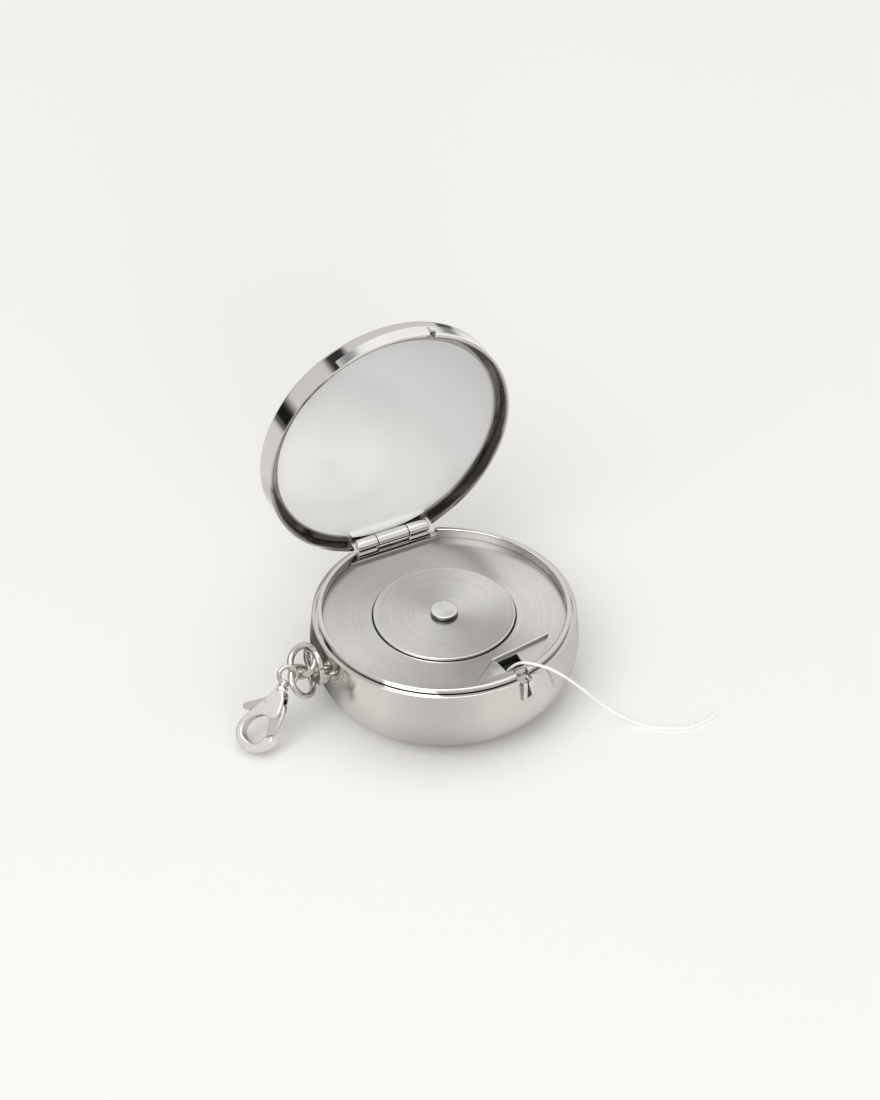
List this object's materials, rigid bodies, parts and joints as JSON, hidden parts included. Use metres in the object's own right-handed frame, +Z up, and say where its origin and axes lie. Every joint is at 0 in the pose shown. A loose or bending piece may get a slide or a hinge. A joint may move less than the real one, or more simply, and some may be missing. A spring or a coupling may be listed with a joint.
{
  "type": "dental floss dispenser",
  "caption": "Round metal floss dispenser with a hinged mirror lid, a turned winding disc, a rim cutter with a free strand, and a swivel clasp hung from a side lug on jump rings.",
  "frame": {"origin": "middle of the flat underside of the case, on the case's own axis", "axes": "+Z up along the case's axis, +Y towards the lid's hinge, -X towards the strap lug"},
  "size_m": [0.0849, 0.0619, 0.068],
  "materials": {
    "case_metal": "polished steel case and lid",
    "rim_metal": "bright turned rim",
    "deck_metal": "spun, concentric brushing",
    "tray_metal": "satin recess",
    "blade_metal": "folded spring steel",
    "pin_metal": "plain turned pin",
    "disc_metal": "finely turned face",
    "washer_rubber": "hidden friction washer",
    "guide_plastic": "moulded",
    "floss_fibre": "waxed thread",
    "hinge_metal": "satin knuckles",
    "chain_metal": "polished wire and casting",
    "mirror_frame": "sloping satin ring",
    "mirror_face": "silvered glass",
    "pad_foam": "hidden backing"
  },
  "bodies": {
    "case": {"case_body": "case_metal", "rim_collar": "rim_metal", "deck_plate": "deck_metal", "outlet_tray": "tray_metal", "thread_cutter": "blade_metal", "spindle": "pin_metal", "spindle_knob": "disc_metal", "friction_washer": "washer_rubber", "floss_guide": "guide_plastic", "floss_strand": "floss_fibre", "base_leaf": "hinge_metal", "hinge_pin": "pin_metal", "strap_lug": "chain_metal"},
    "lid": {"lid_shell": "case_metal", "lid_leaf": "hinge_metal", "mirror_ring": "mirror_frame", "mirror_glass": "mirror_face", "mirror_pad": "pad_foam", "thumb_catch": "rim_metal"},
    "spool": {"spool_cap": "disc_metal", "spool_core": "guide_plastic", "floss_winding": "floss_fibre"},
    "ring_one": {"jump_ring_one": "chain_metal"},
    "ring_two": {"jump_ring_two": "chain_metal"},
    "bail": {"swivel_bail": "chain_metal"},
    "clasp": {"clasp_body": "chain_metal", "lever_pin": "pin_metal"},
    "lever": {"clasp_lever": "chain_metal"}
  },
  "joints": [
    {"name": "lid_hinge", "type": "hinge", "parent": "case", "child": "lid", "pos_m": [0.0008, 0.0238, 0.0182], "axis": [1, 0, 0], "range_deg": [0, 88]},
    {"name": "spool_spin", "type": "hinge", "parent": "case", "child": "spool", "pos_m": [0, 0, 0.009], "axis": [0, 0, 1], "continuous": true},
    {"name": "ring_one_slide", "type": "hinge", "parent": "case", "child": "ring_one", "pos_m": [-0.0275, 0, 0.0149], "axis": [1, 0, 0], "range_deg": [-40, 40]},
    {"name": "ring_two_swing", "type": "hinge", "parent": "ring_one", "child": "ring_two", "pos_m": [-0.02983, 0.00167, 0.01174], "axis": [0.4501, -0.8421, 0.297], "range_deg": [-40, 15]},
    {"name": "bail_slide", "type": "hinge", "parent": "ring_two", "child": "bail", "pos_m": [-0.0297, 0.00085, 0.01095], "axis": [0.5266, -0.5454, 0.6521], "range_deg": [-20, 40]},
    {"name": "clasp_swivel", "type": "hinge", "parent": "bail", "child": "clasp", "pos_m": [-0.0323, 0.00145, 0.013], "axis": [0.607, 0.2489, 0.7547], "continuous": true},
    {"name": "clasp_lever", "type": "hinge", "parent": "clasp", "child": "lever", "pos_m": [-0.03653, 0.00106, 0.00842], "axis": [0.6774, 0.3344, -0.6552], "range_deg": [0, 30], "stiffness_Nm_per_rad": 0.0001, "springref_deg": -17.19}
  ]
}
